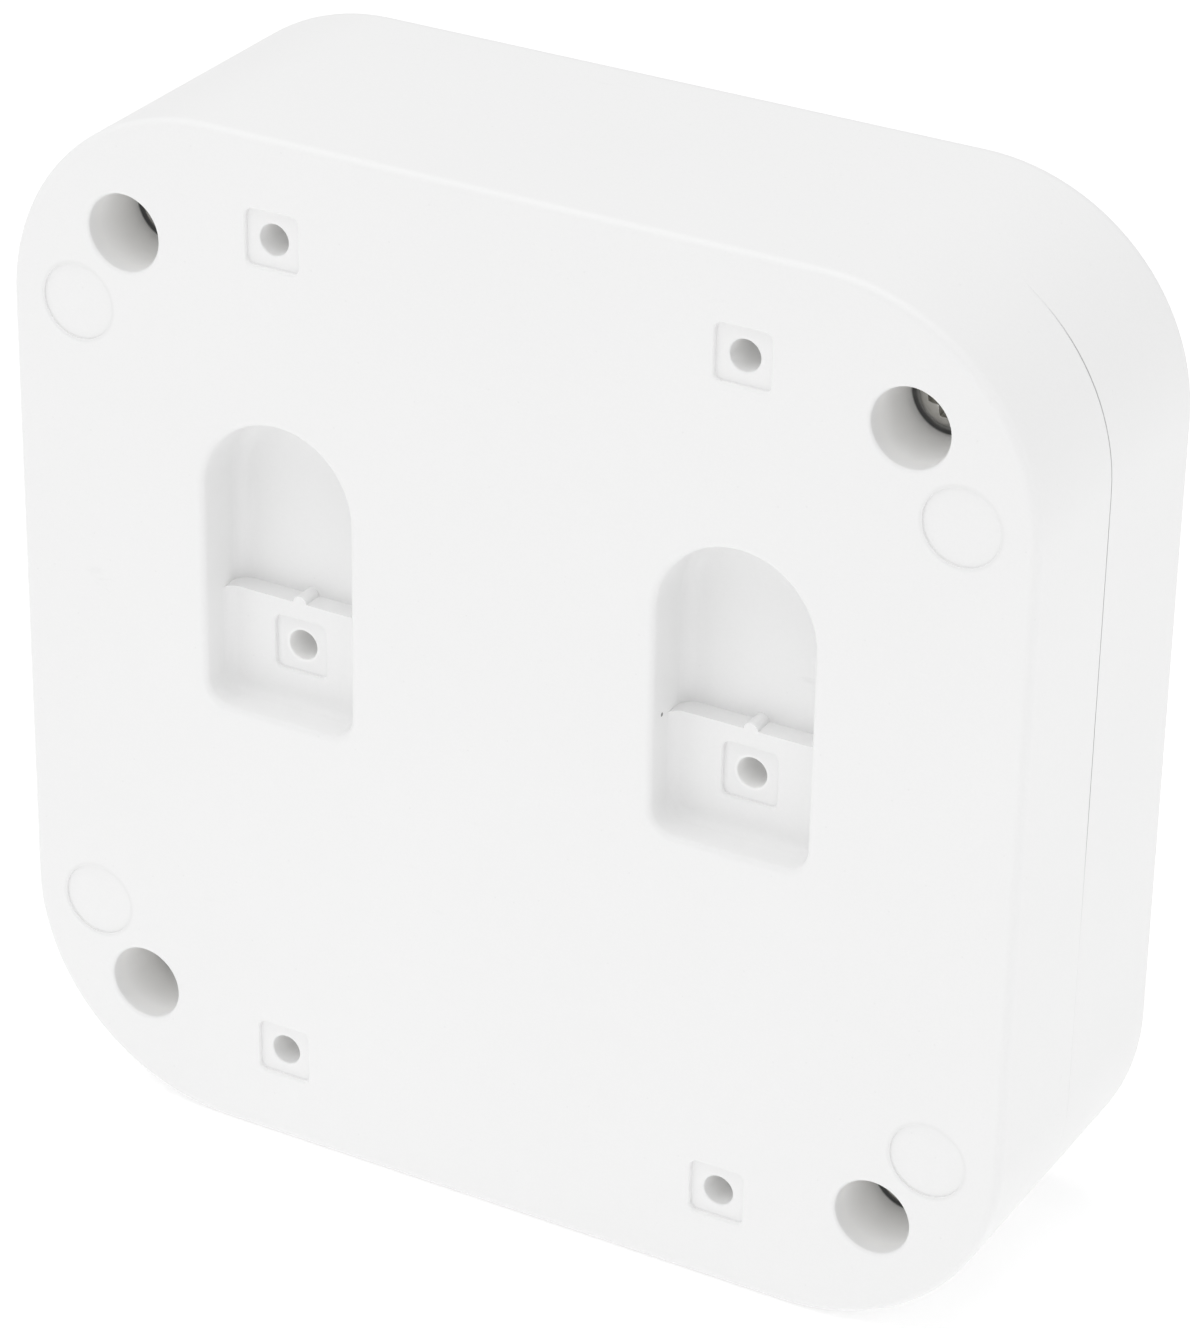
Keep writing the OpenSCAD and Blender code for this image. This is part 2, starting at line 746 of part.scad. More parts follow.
upright() rear_housing();
upright() front_cover();
upright() case_screws();
upright() main_board();
upright() board_screws();
upright() heat_sink();
upright() heat_sink_screws();
upright() thermal_pad();
upright() system_chip();
upright() memory_chips();
upright() flash_chip();
upright() clock_crystals();
upright() chip_parts();
upright() radio_chips();
upright() shield_fence(-1);  // shield_fence_left
upright() shield_fence(1);  // shield_fence_right
upright() shield_lid(-1);  // shield_lid_left
upright() shield_lid(1);  // shield_lid_right
upright() lan_jack_shell();
upright() lan_jack_insert();
upright() lan_jack_contacts();
upright() lan_jack_lamps();
upright() lan_transformer();
upright() power_jack();
upright() power_jack_pin();
upright() power_jack_spring();
upright() poe_transformer_core();
upright() poe_transformer_winding();
upright() power_inductors();
upright() bulk_capacitors();
upright() reset_switch();
upright() reset_switch_bracket();
upright() reset_dome();
upright() reset_button();
upright() status_lamp();
upright() light_pipe();
upright() antenna(0);  // antenna_top
upright() antenna(1);  // antenna_left
upright() antenna(2);  // antenna_right
upright() antenna(3);  // antenna_bottom
upright() antenna_tapes();
upright() antenna_lead(0);  // antenna_lead_top
upright() antenna_lead(1);  // antenna_lead_left
upright() antenna_lead(2);  // antenna_lead_right
upright() antenna_lead(3);  // antenna_lead_bottom
upright() coax_plugs();
upright() coax_sockets();
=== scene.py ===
# %% [markdown]
# # A square access point, seen from its back
#
# The object is a small radio box that hangs on a screw head or stands behind a bracket. Two
# white moulded shells meet in a lap joint, four screws come in from the back, and a board with
# its jacks, radios and antennas lies between them.
#
# The two shells are what shows, so they are drawn here with every round edge that a moulding
# has. The pieces inside keep the shapes of the frame, with their edges broken and a finish each.
# Everything is drawn in millimetres on a bench, lying on its front: x runs across, y runs up the
# case, and z comes out of the mounting face, which is at z = 0.

import json
import math

import bmesh
import bpy
from mathutils import Matrix, Vector


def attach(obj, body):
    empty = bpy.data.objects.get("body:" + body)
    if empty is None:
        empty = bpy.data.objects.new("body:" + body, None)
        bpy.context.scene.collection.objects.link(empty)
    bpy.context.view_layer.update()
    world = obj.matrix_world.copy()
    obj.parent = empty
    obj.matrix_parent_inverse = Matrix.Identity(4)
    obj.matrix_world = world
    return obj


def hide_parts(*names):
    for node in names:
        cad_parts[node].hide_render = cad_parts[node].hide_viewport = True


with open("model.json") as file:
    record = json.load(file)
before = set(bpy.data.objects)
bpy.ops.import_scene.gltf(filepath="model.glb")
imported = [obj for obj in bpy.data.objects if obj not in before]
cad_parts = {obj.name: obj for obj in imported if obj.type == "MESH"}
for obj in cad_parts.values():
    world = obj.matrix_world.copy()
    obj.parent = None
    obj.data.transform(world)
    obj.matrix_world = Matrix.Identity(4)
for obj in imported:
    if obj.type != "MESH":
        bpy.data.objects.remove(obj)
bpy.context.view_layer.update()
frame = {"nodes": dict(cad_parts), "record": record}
BENCH_TO_ROW = Matrix.Rotation(math.radians(90), 4, "X") @ Matrix.Scale(0.001, 4)
print("nodes in the frame:", len(frame["nodes"]))

# %% [markdown]
# ## Sizes
#
# The sizes are those of the solid frame, in millimetres. The extra ones are the small radii
# that a mould leaves: a soft rim round each pocket, a tighter one round each screw well. A name
# that ends in R is a radius and one in W a width. One that ends in AT is a place, and it is
# mirrored to all four corners of the case.

# %% Sizes
CASE_W = 132.0
CASE_R = 27.0
BACK_EDGE = 1.0
FRONT_EDGE = 3.0
WALL = 2.4
PLATE = 2.4
SEAM = 18.4
DEPTH = 42.0
ROOF = DEPTH - PLATE
LAP = 2.4
LAP_GAP = 0.1
LAND = 0.3
CORNER_FILLET = 0.6
TONGUE_EDGE = 0.2
SEAM_BREAK = 0.06
SEAM_GAP = 0.16
SEAM_CUTS = (-20.0, -10.0, -2.0, 6.0, 16.0)
SPRUNG_X = (55.0, 65.0)
SPRUNG_Y = (SEAM_CUTS[0], SEAM_CUTS[-1])

SCREW_AT = 50.2
WELL_R = 4.75
WELL_RIM = 0.4
WELL_DEPTH = 10.3
BOSS_Z = 13.0
CLEARANCE_R = 1.85
PILOT_R = 1.65
PILOT_END = 28.0
TUBE_R = 6.75
BOSS_R = 4.6

PAD_AT = (30.0, 53.7)
PAD_W = 7.0
PAD_RIM = 0.3
PAD_CORNER_R = 0.9
PAD_SINK = 0.6
PAD_HOLE_R = 1.9
PAD_HOLE_Z = 10.0
PAD_BOSS_R = 3.6
PAD_BOSS_Z = 11.6
SHELF_BOSS_Z = 14.4
FOOT_AT = (56.8, 40.2)
FOOT_R = 4.7
FOOT_RIM = 0.05
FOOT_SINK = 0.25
STANDOFF_AT = (48.0, 30.0)
STANDOFF_R = 3.6
STANDOFF_HOLE_R = 1.25
STANDOFF_HOLE_Z = 12.0
BOARD_Z = 20.0

POCKET_X = 30.0
POCKET_W = 20.0
POCKET_TOP = 30.4
POCKET_BOTTOM = -7.7
POCKET_R = 3.0
STEP_Y = 5.8
SHELF = 5.0
DEEP = 7.8
POCKET_RIM = 0.8
SHELF_R = 1.5
DEEP_R = 1.9
RIB_R = 0.9
SKIN = 2.0
STEP_SKIN = 1.5

CORNERS = [(-1, -1), (1, -1), (1, 1), (-1, 1)]

# %% [markdown]
# ## Growing a moulding ring by ring
#
# A moulding is mostly flat faces, straight walls and the round turns between them. So a form
# starts as one flat outline and grows: each step leaves a ring behind and moves the live face in,
# down, or both. A round turn is a few steps along a quarter circle. Growing with a negative sink
# raises a boss instead of cutting a hole.

# %% The form
OUT = Matrix.Identity(4)
IN = Matrix.Rotation(math.pi, 4, "Y")
DOWN = Matrix.Rotation(math.pi / 2, 4, "X")


class Form:
    """A skin with one live face, which grows from the outline it was given."""

    def __init__(self, bm):
        self.bm = bm
        bm.faces.ensure_lookup_table()
        self.live = bm.faces[0]
        self.live.normal_update()

    def step(self, inset, sink=0.0):
        bmesh.ops.inset_region(
            self.bm, faces=[self.live], thickness=inset, depth=-sink,
            use_boundary=True, use_even_offset=True,
        )
        return self

    def wall(self, sink):
        made = bmesh.ops.extrude_discrete_faces(self.bm, faces=[self.live])
        self.live = made["faces"][0]
        self.live.normal_update()
        bmesh.ops.translate(self.bm, verts=self.live.verts[:], vec=self.live.normal * -sink)
        return self

    def turn_down(self, radius, steps=5, way=1):
        """From flat to wall, round a quarter circle."""
        for i in range(steps):
            a, b = (math.pi / 2 * (i + k) / steps for k in (0, 1))
            self.step(radius * (math.sin(b) - math.sin(a)), way * radius * (math.cos(a) - math.cos(b)))
        return self

    def turn_flat(self, radius, steps=5, way=1):
        """From wall to flat, round a quarter circle."""
        for i in range(steps):
            a, b = (math.pi / 2 * (i + k) / steps for k in (0, 1))
            self.step(radius * (math.cos(a) - math.cos(b)), way * radius * (math.sin(b) - math.sin(a)))
        return self

    def open(self):
        bmesh.ops.delete(self.bm, geom=[self.live], context="FACES_ONLY")
        self.live = None
        return self


def rounded(w, h, top_r, low_r, at, facing=OUT, arc=16):
    """A flat outline with round corners, centred on its place."""
    bm = bmesh.new()
    place = Matrix.Translation(at) @ facing
    bmesh.ops.create_grid(
        bm, x_segments=1, y_segments=1, size=0.5, matrix=Matrix.Diagonal((w, h, 1, 1)),
    )
    for sign, radius in ((1, top_r), (-1, low_r)):
        if radius > 0:
            corners = [v for v in bm.verts if v.co.y * sign > h / 2 - 0.001]
            bmesh.ops.bevel(
                bm, geom=corners, offset=radius, offset_type="OFFSET", affect="VERTICES",
                segments=arc, profile=0.5, material=-1, clamp_overlap=False,
            )
    bmesh.ops.remove_doubles(bm, verts=bm.verts, dist=0.001)
    bmesh.ops.transform(bm, matrix=place, verts=bm.verts)
    return bm


def disc(r, at, facing=OUT, arc=64):
    """A flat round outline."""
    bm = bmesh.new()
    bmesh.ops.create_circle(
        bm, cap_ends=True, segments=arc, radius=r, matrix=Matrix.Translation(at) @ facing,
    )
    towards = facing.to_3x3() @ Vector((0, 0, 1))
    face = next(iter(bm.faces))
    face.normal_update()
    if face.normal.dot(towards) < 0:
        bmesh.ops.reverse_faces(bm, faces=[face])
    return bm


# %% [markdown]
# ## Joining the forms
#
# The forms of one moulding meet along shared rings. They are welded there, and each flat face
# that carries several features is then filled at once, round all of their rims. Points that are
# within SAME of a plane count as lying in it, and rims weld when they are within REACH.

# %% Weld and fill
AXIS = {"x": 0, "y": 1, "z": 2}
SAME = 0.002
REACH = 0.012
MERGE = 0.0008


def weld(parts):
    """One mesh from several forms, joined where their rims meet."""
    whole = bmesh.new()
    for part in parts:
        sheet = bpy.data.meshes.new("form")
        part.to_mesh(sheet)
        part.free()
        whole.from_mesh(sheet)
        bpy.data.meshes.remove(sheet)
    bmesh.ops.remove_doubles(whole, verts=whole.verts, dist=REACH)
    return whole


def fill(bm, axis, at, normal):
    """Fills the open rims that lie in one plane."""
    k = AXIS[axis]
    flat = [e for e in bm.edges if all(abs(v.co[k] - at) < SAME for v in e.verts)]
    rims = [e for e in flat if len(e.link_faces) < 2]
    made = bmesh.ops.triangle_fill(bm, edges=rims, use_beauty=True, use_dissolve=False, normal=normal)
    faces = [g for g in made["geom"] if isinstance(g, bmesh.types.BMFace)]
    print(f"  plane {axis} = {at}: {len(rims)} rim edges, {len(faces)} faces")
    return faces


def near(bm, point):
    return min(bm.verts, key=lambda v: (v.co - Vector(point)).length_squared)


def line(bm, a, b):
    bmesh.ops.contextual_create(bm, geom=[near(bm, a), near(bm, b)])


def level(bm, axis, at):
    """The faces that lie in one plane."""
    k = AXIS[axis]
    return [f for f in bm.faces if all(abs(v.co[k] - at) < SAME for v in f.verts)]


def build(bm, name, paint, nodes, body="case", smooth=40, bench=True):
    """Makes the piece, checks that its skin is closed, and hangs it on the frame."""
    bmesh.ops.remove_doubles(bm, verts=bm.verts, dist=MERGE if bench else MERGE / 1000)
    bmesh.ops.recalc_face_normals(bm, faces=bm.faces[:])
    if bench:
        bmesh.ops.transform(bm, matrix=BENCH_TO_ROW, verts=bm.verts)
    loose = sum(1 for e in bm.edges if not e.is_manifold)
    triangles = sum(len(f.verts) - 2 for f in bm.faces)
    mesh = bpy.data.meshes.new(name)
    bm.to_mesh(mesh)
    bm.free()
    mesh.shade_smooth()
    mesh.set_sharp_from_angle(angle=math.radians(smooth))
    mesh.materials.append(paint)
    piece = bpy.data.objects.new(name, mesh)
    bpy.context.scene.collection.objects.link(piece)
    even = piece.modifiers.new("even shading", "WEIGHTED_NORMAL")
    even.keep_sharp = True
    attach(piece, body)
    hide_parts(*nodes)
    print(f"{name}: {triangles} triangles, {loose} open edges")
    return piece


# %% [markdown]
# ## Mixing the paints
#
# Every finish on the object varies a little: the mould's spark-eroded grain, the flow of the
# resin, rubbed corners, solder that dried unevenly. A paint is worked out from the place on the
# object in millimetres, so the same grain runs across both shells. A value in a paint can be
# added, scaled and compared as if it were a number, which keeps each recipe short.

# %% The paint box
STRIPE_SHARE = 0.35


class Flow:
    """One value in a paint."""

    def __init__(self, paint, socket):
        self.paint = paint
        self.socket = socket

    def work(self, kind, *terms):
        return self.paint.add("ShaderNodeMath", {"operation": kind}, dict(enumerate(terms)))

    def size(self):
        """The value without its sign."""
        return self.work("ABSOLUTE", self)

    def stripes(self, pitch):
        """One in every other stripe of that pitch."""
        return self.work("SINE", self * (2 * math.pi / pitch)) > STRIPE_SHARE

    def __add__(self, other):
        return self.work("ADD", self, other)

    __radd__ = __add__

    def __mul__(self, other):
        return self.work("MULTIPLY", self, other)

    def __sub__(self, other):
        return self.work("SUBTRACT", self, other)

    def __rsub__(self, other):
        return self.work("SUBTRACT", other, self)

    def __gt__(self, other):
        return self.work("GREATER_THAN", self, other)

    def spread(self, low, high, start=0.0, end=1.0):
        """The value from low to high, stretched to run from start to end and held there."""
        values = {0: self, 1: low, 2: high, 3: start, 4: end}
        return self.paint.add("ShaderNodeMapRange", {"interpolation_type": "SMOOTHSTEP"}, values)


class Paint:
    """A material, mixed from the place on the object."""

    def __init__(self, name):
        self.material = bpy.data.materials.new(name)
        self.material.use_nodes = True
        self.tree = self.material.node_tree
        self.tree.nodes.clear()
        self.here = self.add("ShaderNodeTexCoord", out="Object")

    def add(self, kind, settings=None, values=None, out=0):
        node = self.tree.nodes.new(kind)
        for name, value in (settings or {}).items():
            setattr(node, name, value)
        for key, value in (values or {}).items():
            if isinstance(value, Flow):
                self.tree.links.new(value.socket, node.inputs[key])
            else:
                node.inputs[key].default_value = value
        return Flow(self, node.outputs[out])

    def place(self, size, stretch):
        scale = [1000 / (size * s) for s in stretch]
        return self.add("ShaderNodeMapping", {}, {"Vector": self.here, "Scale": scale})

    def cloud(self, size, detail=3.0, rough=0.5, stretch=(1, 1, 1)):
        """Soft blotches about that many millimetres across."""
        values = {"Vector": self.place(size, stretch), "Scale": 1.0, "Detail": detail, "Roughness": rough}
        return self.add("ShaderNodeTexNoise", {}, values)

    def cells(self, size):
        """Distance from the nearest of many scattered points."""
        values = {"Vector": self.place(size, (1, 1, 1)), "Scale": 1.0}
        return self.add("ShaderNodeTexVoronoi", {"feature": "F1"}, values, out="Distance")

    def axis(self, name):
        """The place along one axis, in millimetres."""
        return self.add("ShaderNodeSeparateXYZ", {}, {0: self.here}, out=name) * 1000.0

    def bores(self, x, z, r):
        """One inside four holes that are mirrored left to right and top to bottom."""
        folded = self.add("ShaderNodeVectorMath", {"operation": "ABSOLUTE"}, {0: self.here})
        flat = self.add("ShaderNodeVectorMath", {"operation": "MULTIPLY"}, {0: folded, 1: (1000, 0, 1000)})
        away = self.add("ShaderNodeVectorMath", {"operation": "DISTANCE"}, {0: flat, 1: (x, 0, z)}, out=1)
        return away.spread(r, r + 0.5, 1.0, 0.0)

    def speck(self, place, r):
        """One inside a small ball at that place."""
        spot = [c / 1000 for c in place]
        away = self.add("ShaderNodeVectorMath", {"operation": "DISTANCE"}, {0: self.here, 1: spot}, out=1)
        return (away * 1000.0).spread(r * 0.7, r, 1.0, 0.0)

    def mix(self, share, first, second):
        return self.add("ShaderNodeMix", {"data_type": "RGBA"}, {0: share, 6: first, 7: second}, out=2)

    def bump(self, height, depth_mm, before=None):
        values = {"Height": height, "Distance": depth_mm / 1000, "Strength": 1.0}
        if before is not None:
            values["Normal"] = before
        return self.add("ShaderNodeBump", {}, values)

    def edges(self, width, low=0.02, high=0.25):
        """One near a corner that sticks out, and nothing on the flat."""
        soft = self.add("ShaderNodeBevel", {"samples": 4}, {"Radius": width / 1000})
        face = self.add("ShaderNodeNewGeometry", out="Normal")
        turned = self.add("ShaderNodeVectorMath", {"operation": "DOT_PRODUCT"}, {0: soft, 1: face}, out=1)
        return (1.0 - turned).spread(low, high)

    def surface(self, colour, rough, metallic=0.0, normal=None, **values):
        sockets = {"Base Color": colour, "Roughness": rough, "Metallic": metallic, **values}
        if normal is not None:
            sockets["Normal"] = normal
        shader = self.add("ShaderNodeBsdfPrincipled", {}, sockets)
        output = self.tree.nodes.new("ShaderNodeOutputMaterial")
        self.tree.links.new(shader.socket, output.inputs["Surface"])
        return self.material


def tint(red, green, blue):
    return (red, green, blue, 1.0)


def grey(value):
    return tint(value, value, value)


# %% [markdown]
# ## White shell plastic
#
# The shells are a warm white moulding compound with a fine matt grain. The grain is a spark-eroded
# texture, with bumps a third of a millimetre across and only a hundredth high. The resin flows
# unevenly, so the white drifts slightly over a few centimetres. Handling leaves faint grey scuffs
# and a few dark specks of dust.
#
# Light soaks through white plastic, so the screw wells and the small holes are paler inside than
# bare shadow would leave them. Here a cleaner white and a faint glow stand for that. The seat under
# each screw head is painted grey, with a near-black rim by the well's wall as painted shadow. The
# parting line where the shells spring apart is painted dark as painted shade, and a faint ring of
# painted shade lies round the rim of each foot mark.

# %% Shell paint
SOAK = 0.040
POCKET_SPECK = (20.0, 2.4, 6.2)


def handled(paint, grain):
    """The resin's own white, with its drift, its grain, scuffs and specks."""
    drift = paint.cloud(38.0, detail=2.0)
    scuff_lines = paint.cloud(1.1, detail=5.0, rough=0.7, stretch=(9.0, 1.0, 3.0))
    scuff_zone = paint.cloud(22.0, detail=2.0).spread(0.58, 0.70)
    scuffs = scuff_lines.spread(0.60, 0.72) * scuff_zone
    dust = paint.cells(24.0).spread(0.008, 0.012, 1.0, 0.0)
    flecks = paint.cells(2.6).spread(0.035, 0.060, 1.0, 0.0)
    base = paint.mix(drift, tint(0.895, 0.895, 0.894), tint(0.917, 0.917, 0.916))
    grained = paint.mix(grain.spread(0.3, 0.7) * 0.16, base, grey(0.85))
    scuffed = paint.mix(scuffs * 0.30, grained, grey(0.74))
    flecked = paint.mix(flecks * 0.12, scuffed, grey(0.60))
    return paint.mix(dust * 0.6, flecked, tint(0.35, 0.34, 0.32)), scuffs


def shell_paint():
    paint = Paint("white shell plastic")
    grain = paint.cloud(0.32, detail=2.0, rough=0.6)
    pits = paint.cells(0.55)
    bloom = paint.cloud(3.2, detail=4.0, rough=0.6)
    plain, scuffs = handled(paint, grain)
    deep, across, up = paint.axis("Y"), paint.axis("X"), paint.axis("Z")
    in_rear = deep.spread(BOSS_Z + 1.0, BOSS_Z + 2.0, 1.0, 0.0)
    wells = paint.bores(SCREW_AT, SCREW_AT, WELL_R) * in_rear
    holes = paint.bores(*PAD_AT, PAD_HOLE_R) + paint.bores(POCKET_X, 0.0, PAD_HOLE_R)
    soaked = (wells + holes * in_rear * 0.75) * deep.spread(0.3, 3.0)
    lit = paint.mix(soaked, plain, tint(0.970, 0.968, 0.962))
    # Painted shade: the seat at the bottom of each well is painted grey, with a near-black rim by the
    # well's wall as painted shadow.
    seat = wells * deep.spread(WELL_DEPTH - 0.4, WELL_DEPTH - 0.1)
    middle = paint.bores(SCREW_AT, SCREW_AT, WELL_R - 0.75)
    seat_shade = paint.mix(middle, grey(0.08), tint(0.32, 0.32, 0.31))
    with_seat_shade = paint.mix(seat, lit, seat_shade)
    # Painted shade: the parting line is painted dark where the shells spring apart.
    joint = (deep - (SEAM + 0.05)).size().spread(0.05, 0.13, 1.0, 0.0)
    joint_shade = joint * across.spread(*SPRUNG_X) * up.spread(*SPRUNG_Y)
    lined = paint.mix(joint_shade * 0.8, with_seat_shade, grey(0.25))
    # Painted shade: a faint grey ring round the rim of each foot mark.
    foot_rim_shade = paint.bores(*FOOT_AT, FOOT_R + 0.1) - paint.bores(*FOOT_AT, FOOT_R - 0.3)
    ringed = paint.mix(foot_rim_shade * deep.spread(0.3, 0.6, 0.16, 0.0), lined, grey(0.60))
    colour = paint.mix(paint.speck(POCKET_SPECK, 0.28) * 0.9, ringed, grey(0.12))
    glow = paint.mix(soaked * (1.0 - seat), grey(0), tint(1.0, 0.99, 0.97))
    rough = 0.40 + grain * 0.10 + bloom * 0.08 - scuffs * 0.08
    fine = paint.bump(grain, 0.010)
    pitted = paint.bump(pits, 0.005, before=fine)
    normal = paint.bump(bloom, 0.012, before=pitted)
    soft = {"Emission Color": glow, "Emission Strength": SOAK, "IOR": 1.50}
    return paint.surface(colour, rough, normal=normal, **soft)


SHELL = shell_paint()
print("shell paint mixed")

# %% [markdown]
# ## Outer skin of a shell
#
# Each shell is a tray: a flat plate, a side wall that follows the rounded square, and a round turn
# between them. The two trays meet at the seam. There the rear tray is rebated and the cover
# carries a tongue, so that no light or dust gets through. Along the top the two edges meet so
# closely that no line shows. Elsewhere they have a hairline break. At the upper right corner and
# down the right side the shells spring apart by a hair, which makes the parting line show there.

# %% Skins of the two trays


def outline(inset, z, facing, arc=28):
    """The case's rounded square, moved in by inset."""
    w = CASE_W - 2 * inset
    return rounded(w, w, CASE_R - inset, CASE_R - inset, (0, 0, z), facing, arc)


def rear_skin():
    outer = Form(outline(0, -SEAM, OUT))
    outer.wall(-LAND).wall(-(SEAM - BACK_EDGE - 2 * LAND)).wall(-LAND)
    outer.turn_flat(BACK_EDGE, 6, -1).step(LAND).open()
    inner = Form(outline(0, -SEAM, IN))
    inner.step(WALL / 2).wall(LAP).step(WALL / 2)
    inner.wall(SEAM - LAP - PLATE - CORNER_FILLET).turn_flat(CORNER_FILLET).step(LAND).open()
    return [outer.bm, inner.bm]


def cover_skin():
    outer = Form(outline(0, -SEAM, IN))
    outer.wall(-LAND).wall(-(DEPTH - SEAM - FRONT_EDGE - 2 * LAND)).wall(-LAND)
    outer.turn_flat(FRONT_EDGE, 10, -1).step(LAND).open()
    inner = Form(outline(0, -SEAM, OUT))
    inner.step(WALL / 2 + LAP_GAP).wall(-(LAP - LAP_GAP - TONGUE_EDGE)).turn_flat(TONGUE_EDGE, 3, -1)
    inner.step(WALL / 2 - LAP_GAP - TONGUE_EDGE).wall(LAND)
    inner.wall(ROOF - (SEAM - LAP + LAP_GAP) - 2 * LAND - CORNER_FILLET).wall(LAND)
    inner.turn_flat(CORNER_FILLET).step(LAND).open()
    return [outer.bm, inner.bm]


def break_seam(bm):
    """Softens the sharp outer edge of the parting line, except along the top."""
    straight = CASE_W / 2 - CASE_R
    edges = []
    for e in bm.edges:
        middle = (e.verts[0].co + e.verts[1].co) / 2
        on_top = middle.y > straight and abs(middle.x) < SPRUNG_X[0]
        if not on_top and all(abs(v.co.z + SEAM) < SAME for v in e.verts):
            corner = Vector((max(abs(middle.x) - straight, 0), max(abs(middle.y) - straight, 0)))
            if corner.length > CASE_R - 0.05:
                edges.append(e)
    bmesh.ops.bevel(
        bm, geom=edges, offset=SEAM_BREAK, offset_type="OFFSET", affect="EDGES",
        segments=2, profile=0.5, material=-1, clamp_overlap=True,
    )
    print(f"  parting line: {len(edges)} edges broken")


def ramp(value, low, high):
    """Zero below low, one above high, and a smooth rise between."""
    t = min(max((value - low) / (high - low), 0.0), 1.0)
    return t * t * (3 - 2 * t)


def ease_seam(bm):
    """Opens the parting line by a hair at the upper right corner, where the shells spring apart."""
    for y in SEAM_CUTS:
        bmesh.ops.bisect_plane(
            bm, geom=bm.verts[:] + bm.edges[:] + bm.faces[:], plane_co=(0, y, 0), plane_no=(0, 1, 0),
        )
    straight = CASE_W / 2 - CASE_R
    for v in bm.verts:
        x, y, z = v.co
        corner = Vector((abs(x) - straight, max(abs(y) - straight, 0)))
        if x > 0 and corner.length > CASE_R - WALL / 2 - 0.02 and abs(z + SEAM) < 0.2:
            v.co.z -= SEAM_GAP * ramp(x, *SPRUNG_X) * ramp(y, *SPRUNG_Y)


# %% [markdown]
# ## Round features
#
# A screw well is bored through its tube to a flat seat, and a clearance hole goes on through the
# seat. A boss inside grows from the floor with a small fillet, so that it fills well and leaves
# no sink mark outside.

# %% Wells, bosses and pads


def at_corners(x, y):
    return [(sx * x, sy * y) for sx, sy in CORNERS]


def boss(r, base, top, at, facing, hole_r=0.0, hole_end=None, fillet=0.3, arc=64):
    """A round boss from one level to another, with a blind or an open hole in its top."""
    grown = Form(disc(r + fillet, (*at, base), facing, arc))
    grown.turn_down(fillet, 3, -1).wall(-(abs(top - base) - fillet - 0.2)).turn_flat(0.2, 2, -1)
    if hole_r:
        grown.step(r - 0.2 - hole_r)
        if hole_end is None:
            grown.open()
        else:
            grown.wall(abs(hole_end - top))
    return grown.bm


def screw_well(at):
    well = Form(disc(WELL_R + WELL_RIM + LAND, (*at, 0), OUT, 72))
    well.step(LAND).turn_down(WELL_RIM).wall(WELL_DEPTH - WELL_RIM - 0.3).turn_flat(0.3, 3)
    well.step(WELL_R - 0.3 - CLEARANCE_R).wall(BOSS_Z - WELL_DEPTH).open()
    tube = boss(TUBE_R, -PLATE, -BOSS_Z, at, IN, CLEARANCE_R, arc=72)
    return [well.bm, tube]


def fixing_hole(at, z):
    """A square recess with a blind hole, which is shorter on a shelf. Its floor is filled later."""
    w = PAD_W + 2 * (PAD_RIM + LAND)
    corner = PAD_CORNER_R + PAD_RIM + LAND
    square = Form(rounded(w, w, corner, corner, (*at, z), OUT, 8))
    square.step(LAND).turn_down(PAD_RIM, 4).wall(PAD_SINK - PAD_RIM).step(LAND).open()
    hole = Form(disc(PAD_HOLE_R + 0.2 + LAND, (*at, z - PAD_SINK), OUT, 48))
    hole.step(LAND).turn_down(0.2, 3).wall(PAD_HOLE_Z - PAD_SINK - 0.2 + z / 2)
    return [square.bm, hole.bm]


def foot_mark(at):
    mark = Form(disc(FOOT_R + FOOT_RIM + LAND, (*at, 0), OUT))
    return mark.step(LAND).turn_down(FOOT_RIM, 3).wall(FOOT_SINK - FOOT_RIM).step(LAND).bm


# %% [markdown]
# ## Hanging pockets
#
# A wall screw's head goes into the deep arch and drops behind the shelf. Both floors have a
# generous fillet, because the core has to pull out cleanly, and the shelf stops at a step with a
# half-round rib in its middle. The recess is drawn once at each depth. Each is cut off at the step,
# the two halves are joined there, and the flats are filled round what is left.

# %% A pocket, outside and inside


def pocket_outline(x, grow, z, facing):
    top, bottom = POCKET_TOP + grow, POCKET_BOTTOM - grow
    return rounded(
        POCKET_W + 2 * grow, top - bottom, POCKET_W / 2 + grow, POCKET_R + grow,
        (x, (top + bottom) / 2, z), facing, 20,
    )


def cut_at(bm, y, drop=None):
    """Cuts a form across at y, and drops what lies on one side of the cut."""
    bmesh.ops.bisect_plane(
        bm, geom=bm.verts[:] + bm.edges[:] + bm.faces[:], plane_co=(0, y, 0), plane_no=(0, 1, 0),
    )
    if drop is not None:
        gone = [f for f in bm.faces if (f.calc_center_median().y - y) * drop > 0]
        bmesh.ops.delete(bm, geom=gone, context="FACES")


def recess(x, depth, fillet, drop):
    """Rim, wall and fillet of the pocket at one depth, on one side of the step."""
    form = Form(pocket_outline(x, POCKET_RIM + LAND, 0, OUT))
    form.step(LAND).turn_down(POCKET_RIM, 6).wall(SHELF - SHELF_R - POCKET_RIM)
    if depth > SHELF:
        form.wall(depth - fillet - SHELF + SHELF_R)
    form.turn_flat(fillet, 8).step(LAND).open()
    cut_at(form.bm, STEP_Y, drop)
    return form.bm


